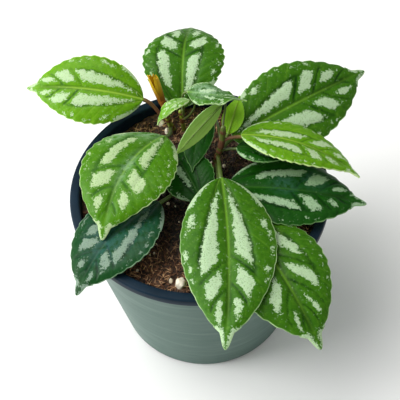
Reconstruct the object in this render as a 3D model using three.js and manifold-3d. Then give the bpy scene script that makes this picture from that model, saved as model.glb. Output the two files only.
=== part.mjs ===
// Potted aluminum plant (Pilea cadierei): two leafy stems and a side shoot, rooted in soil in a
// tapered plastic nursery pot. Millimetres and degrees, +Z up. The origin is the centre of the
// pot's underside, and the front of the plant faces -Y.

import * as THREE from 'three';
import { mergeVertices } from 'three/addons/utils/BufferGeometryUtils.js';
import Module from 'manifold-3d';

const wasm = await Module();
wasm.setup();

// ---------------------------------------------------------------- driving dimensions

const GAP = 0.3; // clearance between neighbouring solids

const pot = {
  height: 82,
  rimRadius: 53,
  baseRadius: 38.6,
  wall: 1.6,
  floor: 2,
  lipHeight: 4,
  lipReach: 1.8, // how far the rolled lip stands out over the wall
  lipWidth: 4,
  lipRound: 1,
  footChamfer: 1,
  drainHoles: 6,
  drainRadius: 4,
  drainRing: 25,
  feet: 6, // low feet round the edge of the base, the first one at the front
  footGap: { width: 24, depth: 5, height: 1.2 }, // each gap between two feet
  segments: 48,
};

const soil = {
  level: 77, // height of the surface at the wall
  mound: 1.2, // rise towards the middle
  lump: 0.8, // height of the crumbs
  ripples: [[0.55, 0.21], [0.62, 0.17]], // how close the lumps lie along X and Y, and their sway
  sway: 2,
  wallRoom: 0.42, // clearance to the wall, more than a gap because the flats of round walls need it
  stemRoom: 0.45, // the same round a stem
  rings: 7,
  segments: 48,
};

const stemFoot = 64; // the stems reach down into the soil to this height

// Places along a blade are shares of its length, and widths are shares of its greatest width.
const blade = {
  thickness: 0.7,
  rib: 0.6, // how far the midrib stands out below
  fold: 12, // how steeply the two halves rise from the midrib, in degrees
  cup: 0.25, // how far the margins curl back down, as a share of the half width
  teeth: 8, // along each edge
  toothDepth: 0.034,
  toothLean: 0.7, // how far forward in its pitch each tooth has its point
  firstTooth: 0.22, // where the smooth base ends
  lastTooth: 0.88, // where the smooth drip tip starts
  baseRows: [0, 0.03, 0.08, 0.15],
  tipRows: [0.88, 0.905, 0.95, 1],
  columns: 5,
  fullLength: 0.93, // where the broad part closes
  forward: 0.87, // below 1, the widest place lies nearer the base
  fullness: 0.65, // below 1, the oval is fuller than a sine wave
  root: 0.05, // width where the petiole joins
  dripTip: 0.16, // width of the drip tip
  flare: 0.08, // how much wider it is where it starts
  flareEnd: 6, // the higher, the sooner the flare ends
  point: 0.012, // width at the very tip
  finest: 0.2, // least half width, in millimetres
};

const petiole = { radius: 0.9, rows: 5, rise: 0.8, clear: 0.72 };

const stemShape = { taper: 0.25, rows: 14, columns: 5 };

const ringEnd = 80; // degrees from its top at which each half of a round section stops

// Each stem runs through its points, from the bottom of its hole to its top.
const stems = {
  stem_right: { radius: 1.3,
    points: [[6, 11, stemFoot], [7, 11, 82], [10, 11, 96], [11, 12, 106]] },
  stem_left: { radius: 1.3,
    points: [[-8.5, 38, stemFoot], [-9, 37, 74], [-11, 34, 84], [-12, 33, 92]] },
  stem_left_small: { radius: 1.0,
    points: [[-5, 36, stemFoot], [-5, 35.5, 76], [-5.5, 34, 85], [-6, 33, 93]] },
};

// A leaf has its stem and the height of its node there, the two ends of its blade, the blade's
// width, how far the midrib arches up and bends sideways as a share of the length, how far the
// blade rolls about the midrib, how much more it rolls at the tip than at the base, and how
// steeply its halves fold up.
const leaves = {
  leaf_front: { stem: 'stem_right', node: 89, base: [9, -5, 95], tip: [5.7, -75.6, 86], width: 37,
    arch: 0.03, bend: 0.03, roll: 1, twist: 18 },
  leaf_front_right: { stem: 'stem_right', node: 81.5, base: [16, -21, 86], tip: [41, -74, 78], width: 39,
    arch: 0.11, bend: 0.01, roll: 0 },
  leaf_right_low: { stem: 'stem_right', node: 84.5, base: [11.4, -5.5, 89], tip: [66.3, -13.4, 83],
    width: 36, arch: 0.04, bend: 0.02, roll: -5 },
  leaf_right_top: { stem: 'stem_right', node: 98, base: [18, 12, 100], tip: [64, -6, 91], width: 26,
    arch: 0.04, bend: 0.09, roll: -16, twist: -10 },
  leaf_upper_right: { stem: 'stem_right', node: 88, base: [15, 18, 91], tip: [74, 50, 92], width: 37,
    arch: 0.08, bend: -0.04, roll: 24, twist: -8 },
  leaf_under_right: { stem: 'stem_right', node: 92, base: [16, 10, 95], tip: [38, 5, 93], width: 17,
    arch: 0.08, roll: -14 },
  leaf_far_left: { stem: 'stem_left', node: 87, base: [-21, 36, 98], tip: [-70.5, 47.1, 97],
    width: 29.5, arch: 0.10, bend: 0.03, roll: -30 },
  leaf_back: { stem: 'stem_left_small', node: 85, base: [-5, 38, 89], tip: [1, 84, 91], width: 36,
    arch: 0.23, bend: 0.02, roll: -2 },
  leaf_left_front: { stem: 'stem_left', node: 81, base: [-13, 18.4, 95], tip: [-39, -26, 87], width: 39,
    arch: 0.17, bend: -0.06, roll: 2, twist: -6 },
  leaf_left_low: { stem: 'stem_right', node: 80.5, base: [-16.8, -7.3, 85], tip: [-50, -44, 77],
    width: 35, arch: 0.11, bend: -0.05, roll: 9, twist: -15 },
  leaf_middle_low: { stem: 'stem_right', node: 83.2, base: [0.4, -8.2, 85], tip: [-10, 16.6, 87],
    width: 21, arch: 0.08, roll: -12, fold: 14 },
  leaf_middle_drop: { stem: 'stem_right', node: 97, base: [6, 29.2, 93.2],
    tip: [-2.5, 2.6, 89.8], width: 12, arch: 0.05, bend: -0.05 },
  leaf_middle_pale: { stem: 'stem_right', node: 103, base: [10.8, 24.5, 105], tip: [-9.4, 7.8, 94],
    width: 9.5, arch: 0.02, roll: 112 },
  leaf_upright: { stem: 'stem_right', node: 95, base: [13, 16, 96], tip: [18.9, 29.9, 103], width: 9,
    arch: 0, roll: 180 },
  leaf_curled_right: { stem: 'stem_left_small', node: 91, base: [-2.4, 29, 108.6],
    tip: [21, 21, 110.3], width: 11.5, arch: 0.06, bend: -0.04, roll: -8, twist: -90 },
  leaf_curled_left: { stem: 'stem_left_small', node: 87, base: [-1.8, 27.2, 105.8],
    tip: [-15.6, 21.4, 98], width: 6.4, arch: 0.26, roll: 4 },
  bud: { stem: 'stem_left', node: 90, base: [-13, 35.9, 95], tip: [-16.1, 38.3, 109], width: 4.2,
    arch: 0.05, fold: 50 },
};

const UP = new THREE.Vector3(0, 0, 1);
const vector = ([x, y, z]) => new THREE.Vector3(x, y, z);
const radians = THREE.MathUtils.degToRad;

// ---------------------------------------------------------------- closed lofts

// Joins rings of points into one closed body. A ring runs left to right over the top and back
// underneath, and each cell is split alike above and below, so that thin faces never cross.
function loft(rings) {
  const count = rings[0].length;
  const half = count / 2;
  const positions = rings.flat().flatMap((point) => point.toArray());
  const triangles = [];
  const at = (row, k) => row * count + (k % count);
  for (let row = 0; row < rings.length - 1; row++) {
    for (let k = 0; k < count; k++) {
      const [a, b, c, d] = [at(row, k), at(row, k + 1), at(row + 1, k + 1), at(row + 1, k)];
      if (k < half) triangles.push(a, b, c, a, c, d);
      else triangles.push(a, b, d, b, c, d);
    }
  }
  const last = rings.length - 1;
  for (let k = 0; k < half - 1; k++) {
    const below = count - 1 - k;
    triangles.push(at(0, k), at(0, below), at(0, below - 1), at(0, k), at(0, below - 1), at(0, k + 1));
    triangles.push(at(last, k), at(last, below - 1), at(last, below));
    triangles.push(at(last, k), at(last, k + 1), at(last, below - 1));
  }
  const geometry = new THREE.BufferGeometry();
  geometry.setAttribute('position', new THREE.Float32BufferAttribute(positions, 3));
  geometry.setIndex(triangles);
  return geometry;
}

// A ring round a centre, with `side` as its left-right direction and `normal` as its top. It is
// nearly round: the two ends of each half stop a little short of each other.
function roundRing(centre, side, normal, radius, columns) {
  const point = (j, up) => {
    const angle = radians(ringEnd) * (2 * j / (columns - 1) - 1);
    return centre.clone()
      .addScaledVector(side, radius * Math.sin(angle))
      .addScaledVector(normal, up * radius * Math.cos(angle));
  };
  const order = [...Array(columns).keys()];
  return [...order.map((j) => point(j, 1)), ...order.reverse().map((j) => point(j, -1))];
}

// ---------------------------------------------------------------- leaves

// Width along the blade, as a share of the greatest: a full oval that ends in a drip tip.
function outline(t) {
  const turn = Math.PI * Math.min(1, t / blade.fullLength) ** blade.forward;
  const oval = Math.sin(turn) ** blade.fullness;
  const left = (1 - t) / (1 - blade.lastTooth);
  const drip = blade.dripTip * Math.sqrt(left) + blade.flare * left ** blade.flareEnd + blade.point;
  return Math.max(oval, t < blade.lastTooth ? blade.root : drip);
}

// The rows of the blade: tooth by tooth, a notch and then its point, which leans forward.
function bladeRows() {
  const smooth = (t) => ({ t, cut: 0 });
  const pitch = (blade.lastTooth - blade.firstTooth) / blade.teeth;
  const toothed = [...Array(blade.teeth).keys()].flatMap((tooth) => {
    const start = blade.firstTooth + tooth * pitch;
    return [{ t: start, cut: blade.toothDepth }, smooth(start + blade.toothLean * pitch)];
  });
  return [...blade.baseRows.map(smooth), ...toothed, ...blade.tipRows.map(smooth)];
}

// The midrib's point at t, with the blade's forward, sideways and upward directions there.
function midrib(leaf, t) {
  const { arch = 0, bend = 0, roll = 0, twist = 0 } = leaf;
  const base = vector(leaf.base);
  const chord = vector(leaf.tip).sub(base);
  const length = chord.length();
  const side = UP.clone().cross(chord).normalize();
  const top = chord.clone().cross(side).normalize();
  const rise = 4 * t * (1 - t) * length;
  const slope = 4 * (1 - 2 * t) * length;
  const point = base.addScaledVector(chord, t)
    .addScaledVector(top, arch * rise)
    .addScaledVector(side, bend * rise);
  const forward = chord.addScaledVector(top, arch * slope).addScaledVector(side, bend * slope).normalize();
  const level = side.addScaledVector(forward, -side.dot(forward)).normalize();
  const sideways = level.applyAxisAngle(forward, radians(roll + twist * (t - 0.5)));
  const upward = forward.clone().cross(sideways);
  return { point, forward, sideways, upward };
}

function bladeRing(leaf, { t, cut }) {
  const { point, sideways, upward } = midrib(leaf, t);
  const half = Math.max((outline(t) - cut) * leaf.width / 2, blade.finest);
  const slope = Math.tan(radians(leaf.fold ?? blade.fold));
  const across = [...Array(blade.columns).keys()].map((j) => 1 - 2 * j / (blade.columns - 1));
  const place = (v, drop) => point.clone()
    .addScaledVector(sideways, half * v)
    .addScaledVector(upward, half * (slope * Math.abs(v) - blade.cup * v * v) - drop);
  const ribDepth = blade.rib * (1 - t);
  const above = across.map((v) => place(v, 0));
  const below = across.map((v) => place(v, blade.thickness + (v === 0 ? ribDepth : 0)));
  return [...above, ...below.reverse()];
}

// The petiole leaves the stem slanting up and outwards and runs on into the midrib.
function petioleRings(leaf) {
  const start = midrib(leaf, 0);
  const onStem = stemPoint(leaf.stem, leaf.node);
  const outwards = start.point.clone().sub(onStem).setZ(0).normalize();
  const stemRadius = stems[leaf.stem].radius;
  const root = onStem.clone().addScaledVector(outwards, stemRadius + GAP + petiole.clear);
  const reach = root.distanceTo(start.point);
  const leave = outwards.clone().addScaledVector(UP, petiole.rise).normalize();
  const depth = (blade.thickness + blade.rib) / 2;
  const centre = start.point.clone().addScaledVector(start.upward, -depth);
  const path = new THREE.CubicBezierCurve3(
    root,
    root.clone().addScaledVector(leave, reach / 3),
    centre.clone().addScaledVector(start.forward, -reach / 3),
    centre,
  );
  const rings = [];
  for (let row = 0; row < petiole.rows; row++) {
    const t = row / petiole.rows;
    const along = path.getTangent(t);
    const side = start.sideways.clone().addScaledVector(along, -start.sideways.dot(along)).normalize();
    const normal = along.clone().cross(side);
    rings.push(roundRing(path.getPoint(t), side.negate(), normal, petiole.radius, blade.columns));
  }
  return rings;
}

function leafGeometry(leaf) {
  return loft([...petioleRings(leaf), ...bladeRows().map((row) => bladeRing(leaf, row))]);
}

// ---------------------------------------------------------------- stems

function stemCurve(name) {
  return new THREE.CatmullRomCurve3(stems[name].points.map(vector));
}

// The point on a stem's centre line at a given height.
function stemPoint(name, height) {
  const curve = stemCurve(name);
  let [low, high] = [0, 1];
  for (let step = 0; step < 20; step++) {
    const middle = (low + high) / 2;
    if (curve.getPoint(middle).z < height) low = middle;
    else high = middle;
  }
  return curve.getPoint(low);
}

// A stem, which tapers upwards.
function stemGeometry(name) {
  const { radius } = stems[name];
  const { taper, rows, columns } = stemShape;
  const curve = stemCurve(name);
  const rings = [];
  for (let row = 0; row <= rows; row++) {
    const t = row / rows;
    const along = curve.getTangent(t);
    const side = new THREE.Vector3(1, 0, 0).addScaledVector(along, -along.x).normalize();
    const normal = along.clone().cross(side);
    const girth = radius * (1 - taper * t);
    rings.push(roundRing(curve.getPoint(t), side.negate(), normal, girth, columns));
  }
  return loft(rings);
}

// ---------------------------------------------------------------- pot and soil

function toManifold(geometry) {
  const bare = geometry.clone();
  bare.deleteAttribute('normal');
  bare.deleteAttribute('uv');
  const merged = mergeVertices(bare, 1e-4);
  const vertProperties = new Float32Array(merged.attributes.position.array);
  const triVerts = new Uint32Array(merged.index.array);
  return new wasm.Manifold(new wasm.Mesh({ numProp: 3, vertProperties, triVerts }));
}

function toGeometry(manifold) {
  const { vertProperties, triVerts } = manifold.getMesh();
  const geometry = new THREE.BufferGeometry();
  geometry.setAttribute('position', new THREE.BufferAttribute(vertProperties, 3));
  geometry.setIndex(new THREE.BufferAttribute(triVerts, 1));
  return geometry;
}

// A lathe turns about Y; this stands it up about Z.
function upright(geometry) {
  return geometry.rotateX(Math.PI / 2);
}

function verticalCylinder(x, y, bottom, top, radius, sides) {
  return upright(new THREE.CylinderGeometry(radius, radius, top - bottom, sides))
    .translate(x, y, (top + bottom) / 2);
}

// The radius of the pot's wall at a height, outside and inside.
function outerRadius(z) {
  const top = pot.height - pot.lipHeight;
  return THREE.MathUtils.lerp(pot.baseRadius, pot.rimRadius - pot.lipReach, z / top);
}

function innerRadius(z) {
  const share = (z - pot.floor) / (pot.height - pot.lipHeight - pot.floor);
  return THREE.MathUtils.lerp(pot.baseRadius - pot.wall, pot.rimRadius - pot.lipWidth, share);
}

function potGeometry() {
  const { height, rimRadius, baseRadius, floor, lipHeight, lipWidth, lipRound, footChamfer } = pot;
  const underLip = height - lipHeight;
  const mouth = rimRadius - lipWidth;
  const profile = [
    [0, 0],
    [baseRadius - footChamfer, 0],
    [outerRadius(footChamfer), footChamfer],
    [outerRadius(underLip), underLip],
    [rimRadius - lipRound / 2, underLip],
    [rimRadius, underLip + lipRound],
    [rimRadius, height - lipRound],
    [rimRadius - lipRound, height],
    [mouth + lipRound, height],
    [mouth, height - lipRound],
    [mouth, underLip],
    [innerRadius(floor), floor],
    [0, floor],
  ].map(([r, z]) => new THREE.Vector2(r, z));
  let body = toManifold(upright(new THREE.LatheGeometry(profile, pot.segments)));
  for (let hole = 0; hole < pot.drainHoles; hole++) {
    const angle = (hole / pot.drainHoles) * 2 * Math.PI;
    const [x, y] = [pot.drainRing * Math.cos(angle), pot.drainRing * Math.sin(angle)];
    body = body.subtract(toManifold(verticalCylinder(x, y, -1, floor + 1, pot.drainRadius, 16)));
  }
  for (let foot = 0; foot < pot.feet; foot++) body = body.subtract(toManifold(footGapBlock(foot)));
  return toGeometry(body);
}

// What is taken out of the edge of the base between one foot and the next.
function footGapBlock(foot) {
  const { width, depth, height } = pot.footGap;
  const block = new THREE.BoxGeometry(2 * depth, width, 2 * height);
  const angle = ((foot + 0.5) / pot.feet) * 2 * Math.PI - Math.PI / 2;
  return block.translate(pot.baseRadius, 0, 0).rotateZ(angle);
}

// The crumbly surface of the soil: a low mound with two crossing sets of lumps.
function soilHeight(x, y) {
  const edge = Math.hypot(x, y) / innerRadius(soil.level);
  const [[alongX, swayX], [alongY, swayY]] = soil.ripples;
  const first = Math.sin(x * alongX + soil.sway * Math.sin(y * swayX));
  const second = Math.sin(y * alongY + soil.sway * Math.sin(x * swayY));
  return soil.level + soil.mound * (1 - edge * edge) + soil.lump * (first + second) / 2;
}

function soilGeometry() {
  const bottom = pot.floor + GAP;
  const topRadius = innerRadius(soil.level) - soil.wallRoom;
  const bottomRadius = innerRadius(bottom) - soil.wallRoom;
  const profile = [new THREE.Vector2(0, bottom), new THREE.Vector2(bottomRadius, bottom)];
  for (let ring = soil.rings; ring >= 0; ring--) {
    profile.push(new THREE.Vector2(topRadius * ring / soil.rings, soil.level));
  }
  const block = upright(new THREE.LatheGeometry(profile, soil.segments));
  const points = block.attributes.position;
  for (let i = 0; i < points.count; i++) {
    const [x, y, z] = [points.getX(i), points.getY(i), points.getZ(i)];
    const onTop = z > (bottom + soil.level) / 2;
    const inside = Math.hypot(x, y) < topRadius * (1 - 0.5 / soil.rings);
    if (onTop && inside) points.setZ(i, soilHeight(x, y));
  }
  let body = toManifold(block);
  for (const name of Object.keys(stems)) {
    const { radius } = stems[name];
    const curve = stemCurve(name);
    const [foot, surface] = [curve.getPoint(0), stemPoint(name, soil.level + 2)];
    const centre = foot.clone().add(surface).multiplyScalar(0.5);
    const lean = Math.hypot(foot.x - surface.x, foot.y - surface.y) / 2;
    const room = radius + soil.stemRoom + lean;
    const hole = verticalCylinder(centre.x, centre.y, stemFoot - 2 * GAP, pot.height, room, 14);
    body = body.subtract(toManifold(hole));
  }
  return toGeometry(body);
}

// ---------------------------------------------------------------- the plant

const part = new THREE.Group();

function add(name, geometry, color, roughness) {
  const material = new THREE.MeshStandardMaterial({ color, roughness, metalness: 0 });
  const mesh = new THREE.Mesh(geometry, material);
  mesh.name = name;
  part.add(mesh);
}

add('pot', potGeometry(), 0x7d9a92, 0.45);
add('soil', soilGeometry(), 0x3a271a, 0.95);
for (const name of Object.keys(stems)) add(name, stemGeometry(name), 0x5d6a1e, 0.5);
for (const [name, leaf] of Object.entries(leaves)) {
  add(name, leafGeometry(leaf), name === 'bud' ? 0xb8801c : 0x4d8a2c, 0.4);
}

export default part;
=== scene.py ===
"""A potted aluminum plant: two leafy stems and a side shoot in a two-coloured nursery pot.

Lengths here are millimetres and angles are degrees. Meshes are made in metres, and the scales of
the noise patterns, the floor and the lights are in metres too.
"""

import math
from dataclasses import dataclass

import bmesh
import bpy
import numpy as np
from mathutils import Matrix, Vector, noise


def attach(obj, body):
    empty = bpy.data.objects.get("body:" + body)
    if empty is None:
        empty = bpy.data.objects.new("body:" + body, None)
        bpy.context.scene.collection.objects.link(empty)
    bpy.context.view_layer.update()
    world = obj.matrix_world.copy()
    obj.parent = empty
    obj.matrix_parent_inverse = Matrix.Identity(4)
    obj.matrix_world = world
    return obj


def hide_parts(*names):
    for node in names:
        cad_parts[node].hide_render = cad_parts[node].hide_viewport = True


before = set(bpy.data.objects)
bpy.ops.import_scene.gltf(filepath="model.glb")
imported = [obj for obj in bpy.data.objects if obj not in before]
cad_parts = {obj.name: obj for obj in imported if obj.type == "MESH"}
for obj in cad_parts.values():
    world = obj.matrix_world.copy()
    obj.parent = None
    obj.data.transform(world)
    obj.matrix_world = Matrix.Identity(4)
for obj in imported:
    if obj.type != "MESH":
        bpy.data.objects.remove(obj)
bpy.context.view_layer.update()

MM = 0.001
UP = np.array([0.0, 0.0, 1.0])


# ---------------------------------------------------------------- sizes

POT_HEIGHT = 82
POT_RIM_RADIUS = 53
POT_BASE_RADIUS = 38.6
POT_WALL = 1.6
POT_FLOOR = 2
POT_SEGMENTS = 144
BASE_ROUNDING = 1.4
LIP_HEIGHT = 4
LIP_REACH = 1.8  # how far the lip stands out from the wall
LIP_WIDTH = 4
LIP_ROUNDING = 0.9  # at its top
LIP_UNDERCUT = 0.7  # the rounding at its bottom
DRAIN_HOLES = 6
DRAIN_RADIUS = 4
DRAIN_RING = 25  # the radius of the circle that the holes lie on
FLOOR_RING = 20  # a ring of points in the floor, inside the circle of holes
FEET = 6
FOOT_GAP = (5, 24, 1.2)  # depth into the base, width and height of each gap between two feet

SOIL_LEVEL = 77
SOIL_MOUND = 1.2
SOIL_LUMP = 0.8
SOIL_GAP = 0.3  # between the root ball and the pot
SOIL_GRID = (84, 220)  # rings, and points on each
SOIL_SIDES = (71, 40)  # heights of the rings down the side of the root ball

STEM_FOOT = 64
STEM_TAPER = 0.25
STEM_GRID = (90, 20)  # rings, and points on each

TEETH = 8
TOOTH_DEPTH = 0.034  # a share of the blade's width
TOOTH_LEAN = 0.7
FIRST_TOOTH = 0.22
LAST_TOOTH = 0.88
FULL_LENGTH = 0.93
BLADE_THICKNESS = 0.7
BLADE_FOLD = 12
BLADE_CUP = 0.25
PUFF = 0.026  # how high the blade puffs up between its veins, as a share of its width
BROAD_LEAF = 38.0  # the width of the broadest leaves, which the markings are drawn for
BROAD_GRID = (150, 45)  # rows along a blade, and points across it
SMALL_GRID = (110, 33)  # the same, for blades up to SMALL_WIDTH
SMALL_WIDTH = 20
FAR_OUTSIDE = -9.0  # a depth in a silver patch where there is no silver
LEAF_SEED = 100

PETIOLE_GIRTH = 0.95  # the radius of the stoutest petioles
PETIOLE_SIDES = 12
PETIOLE_ROWS = 25  # rings from the stem to the blade
MIDRIB_ROWS = 40  # rings on under the blade

BUD_GRID = (34, 17)
BUD_WRAPS = ((1.0, 0.4, 1.0), (0.82, 3.4, 0.93))  # size, turn in radians and height of each scale
BUD_THICKNESS = 0.35
BUD_FOOT_ROWS = 12

CAMERA_LENS = 86.85
CAMERA_DISTANCE = 400
CAMERA_ELEVATION = 54
CAMERA_ROLL = -3.5
CAMERA_AIM = 73.8  # the height that it looks at, above the middle of the pot's underside
LIGHT_AIM = 0.07  # the height that the lights face, in metres
FLOOR_REACH = 3  # in metres


@dataclass
class Stem:
    """A stem's radius at its foot, and the points that its centre line runs through."""

    radius: float
    points: tuple


@dataclass
class Leaf:
    """One leaf: where its petiole leaves its stem, its blade's two ends, its shape and its skin.

    Each of the patches runs from one share of the blade's length to another. `shift` moves those
    of the left half towards the tip, and those of the right half towards the base. `band` says
    between which shares of the half width the long patch lies, at its start and at its end, with
    the side vein along its outer edge. In the left half it lies further out by `skew`. `lean` is
    how far the shorter patches slant towards the tip. `plain` names the halves without silver, -1
    for the left. `spots` sizes the small silver spots near the margin. A painted sheen, colour that
    stands in for a reflection, lies round a point: its share of the length and of the half width,
    and its reach in both. `under` names the skin of the underside. `teeth` scales the teeth, and
    `ripple` is how high the margin waves.
    """

    stem: str
    node: float
    base: tuple
    tip: tuple
    width: float
    arch: float = 0.0
    bend: float = 0.0
    roll: float = 0.0
    twist: float = 0.0
    fold: float = BLADE_FOLD
    skin: str = "fresh"
    petiole: str = "green"
    patches: tuple = ((0.05, 0.43), (0.52, 0.61), (0.68, 0.75))
    shift: float = 0.015
    band: tuple = ((0.2, 0.33), (0.2, 0.55))
    skew: float = 0.03
    lean: float = 0.2
    plain: tuple = ()
    spots: float = 0.7
    # painted sheen round given points, standing in for reflections on the glossy blade
    glaze: tuple = ()
    under: str = "leaf"
    teeth: float = 1.0
    ripple: float = 0.22


STEMS = {
    "stem_right": Stem(1.3, ((6, 11, STEM_FOOT), (7, 11, 82), (10, 11, 96), (11, 12, 106))),
    "stem_left": Stem(1.3, ((-8.5, 38, STEM_FOOT), (-9, 37, 74), (-11, 34, 84), (-12, 33, 92))),
    "stem_left_small": Stem(1, ((-5, 36, STEM_FOOT), (-5, 35.5, 76), (-5.5, 34, 85), (-6, 33, 93))),
}

# Painted light on some leaves: a sheen round a point is painted sheen that stands in for a
# reflection, the darker skins are painted shade for leaves that lie in shadow, and the yellower
# skin of the backlit leaves is painted light.
LEAVES = {
    "front": Leaf("stem_right", 89, (9, -5, 95), (5.7, -75.6, 86), 37, 0.03, 0.03, 1, 18,
                  patches=((0.03, 0.47), (0.525, 0.63), (0.68, 0.78)), spots=1.0, teeth=0.6,
                  band=((0.165, 0.28), (0.175, 0.56)), skew=0.045),
    "front_right": Leaf("stem_right", 81.5, (16, -21, 86), (41, -74, 78), 39, 0.11, 0.01, 0,
                        patches=((0.02, 0.28), (0.385, 0.485), (0.605, 0.665)), shift=0.03,
                        spots=0.1, band=((0.22, 0.5), (0.4, 0.64)), skew=0.0, lean=0.34),
    "right_low": Leaf("stem_right", 84.5, (11.4, -5.5, 89), (66.3, -13.4, 83), 36, 0.04, 0.02, -5,
                      skin="dark", patches=((0.1, 0.42), (0.48, 0.58), (0.67, 0.73)), teeth=1.2,
                      shift=-0.02, spots=0.2, band=((0.24, 0.44), (0.36, 0.62)), skew=0,
                      glaze=((0.4, 0.1, 0.09, 0.3), (0.6, 0.4, 0.1, 0.3))),
    "right_top": Leaf("stem_right", 98, (18, 12, 100), (64, -6, 91), 26, 0.04, 0.09, -16, -10,
                      skin="bright", petiole="brown", shift=-0.01, spots=0.5, teeth=1.6,
                      band=((0.185, 0.385), (0.175, 0.5)), skew=0.07,
                      patches=((0.05, 0.41), (0.485, 0.58), (0.65, 0.73))),
    "upper_right": Leaf("stem_right", 88, (15, 18, 91), (74, 50, 92), 37, 0.08, -0.04, 24, -8,
                        patches=((0.03, 0.41), (0.47, 0.56), (0.62, 0.71)), shift=0.025,
                        band=((0.14, 0.3), (0.22, 0.61)), teeth=1.3),
    "under_right": Leaf("stem_right", 92, (16, 10, 95), (38, 5, 93), 17, 0.08, 0, -14,
                        skin="dark", spots=0.3, patches=((0.3, 0.5), (0.56, 0.62), (0.7, 0.74)),
                        plain=(1,)),
    "far_left": Leaf("stem_left", 87, (-21, 36, 98), (-70.5, 47.1, 97), 29.5, 0.1, 0.03, -30,
                     skin="bright", petiole="brown", shift=-0.015, spots=0.9, teeth=1.1,
                     band=((0.19, 0.35), (0.17, 0.54)), skew=0.01,
                     patches=((0.02, 0.47), (0.53, 0.64), (0.69, 0.78))),
    "back": Leaf("stem_left_small", 85, (-5, 38, 89), (1, 84, 91), 36, 0.23, 0.02, -2,
                 patches=((0.06, 0.375), (0.44, 0.555), (0.61, 0.71)), shift=0.005, spots=0.5,
                 teeth=1.4, band=((0.2, 0.47), (0.245, 0.56)), skew=-0.1),
    "left_front": Leaf("stem_left", 81, (-13, 18.4, 95), (-39, -26, 87), 39, 0.17, -0.06, 2, -6,
                       skin="speckled", patches=((0.04, 0.375), (0.43, 0.55), (0.61, 0.71)),
                       shift=0.03, spots=0.4, band=((0.25, 0.46), (0.22, 0.51)), skew=0.09,
                       glaze=((0.06, -0.5, 0.1, 0.5), (0.22, -0.8, 0.1, 0.16),
                              (0.45, 0, 0.15, 0.1))),
    "left_low": Leaf("stem_right", 80.5, (-16.8, -7.3, 85), (-50, -44, 77), 35, 0.11, -0.05, 9,
                     -15, skin="shaded", patches=((0.03, 0.5), (0.53, 0.62), (0.7, 0.77)),
                     shift=-0.03, spots=0.3, band=((0.2, 0.32), (0.38, 0.62)), skew=0,
                     glaze=((0.25, 0, 0.35, 0.8), (0.55, 0, 0.2, 0.6))),
    "middle_low": Leaf("stem_right", 83.2, (0.4, -8.2, 85), (-10, 16.6, 87), 21, 0.08, 0, -12,
                       fold=14, skin="dark", patches=((0.22, 0.62), (0.72, 0.76), (0.84, 0.86)),
                       band=((0.06, 0.2), (0.1, 0.36)), skew=0, plain=(-1,), spots=0.2),
    "middle_drop": Leaf("stem_right", 97, (6, 29.2, 93.2), (-2.5, 2.6, 89.8), 12, 0.05, -0.05, 0,
                        skin="dark", plain=(-1, 1)),
    "middle_pale": Leaf("stem_right", 103, (10.8, 24.5, 105), (-9.4, 7.8, 94), 9.5, 0.02, 0, 112),
    "upright": Leaf("stem_right", 95, (13, 16, 96), (18.9, 29.9, 103), 9, 0, 0, 180, skin="bright",
                    under="lit_leaf", petiole="lit"),
    "curled_right": Leaf("stem_left_small", 91, (-2.4, 29, 108.6), (21, 21, 110.3), 11.5, 0.06,
                         -0.04, -8, -90, ripple=3.6, teeth=1.8, spots=0.2, lean=0.5,
                         patches=((0.14, 0.32), (0.5, 0.58), (0.72, 0.75)),
                         glaze=((0.3, 0.3, 0.3, 0.7),)),
    "curled_left": Leaf("stem_left_small", 87, (-1.8, 27.2, 105.8), (-15.6, 21.4, 98), 6.4, 0.26,
                        0, 4, ripple=3.6, teeth=2, spots=0.2, lean=0.5,
                        skin="bright", patches=((0.08, 0.24), (0.45, 0.5), (0.64, 0.66)),
                        glaze=((0.2, -0.2, 0.3, 0.6),)),
}

BUD = Leaf("stem_left", 90, (-13, 35.9, 95), (-16.1, 38.3, 109), 4.2)

# Small silver spots near the margin: a share of the length, of the half width, and a size in mm.
SPOTS = ((0.27, 0.8, 1.8), (0.37, 0.88, 0.9), (0.46, 0.9, 0.9), (0.55, 0.86, 0.8),
         (0.62, 0.9, 0.5))

# Between which shares of the half width the second and the third patch of each half lie.
SHORT_BANDS = ((0.17, 0.64), (0.21, 0.57))

# Where the fine veins near the margin start, as shares of the blade's length.
FINE_VEINS = [0.1 + 0.085 * number for number in range(10)]

# The larger grains of perlite, each with its x, y and radius, and how many there are in all.
PERLITE_SPOTS = ((-14.7, 40.0, 1.6), (-12.4, 34.6, 1.2), (-13.1, -40.3, 1.0), (3.4, 21.9, 0.7),
                 (6.0, 15.7, 0.8), (11.0, 13.7, 1.0), (-9.3, -42.2, 2.3))
PERLITE_GRAINS = 46
PERLITE_REACH = 44
PERLITE_SEED = 41
SIZE_SEED = 7  # what the loose bits' sizes add to the seed of their places


# ---------------------------------------------------------------- node trees

class Socket:
    """One output in a node tree. Arithmetic on it adds Math nodes."""

    def __init__(self, tree, output):
        self.tree = tree
        self.output = output

    def math(self, operation, *operands):
        settings = {"operation": operation}
        return self.tree.node("ShaderNodeMath", settings, dict(enumerate(operands)))

    def __add__(self, other):
        return self.math("ADD", self, other)

    def __sub__(self, other):
        return self.math("SUBTRACT", self, other)

    def __rsub__(self, other):
        return self.math("SUBTRACT", other, self)

    def __mul__(self, other):
        return self.math("MULTIPLY", self, other)

    __radd__ = __add__
    __rmul__ = __mul__

    def largest(self, other):
        """The greater of the two at each point."""
        return self.math("MAXIMUM", self, other)

    def step(self, low, high):
        """0 below low, 1 above high, and a smooth rise between them."""
        settings = {"interpolation_type": "SMOOTHSTEP"}
        return self.tree.node("ShaderNodeMapRange", settings, {"Value": self, 1: low, 2: high})

    def part(self, name):
        """Another output of the same node."""
        return Socket(self.tree, self.output.node.outputs[name])


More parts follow.
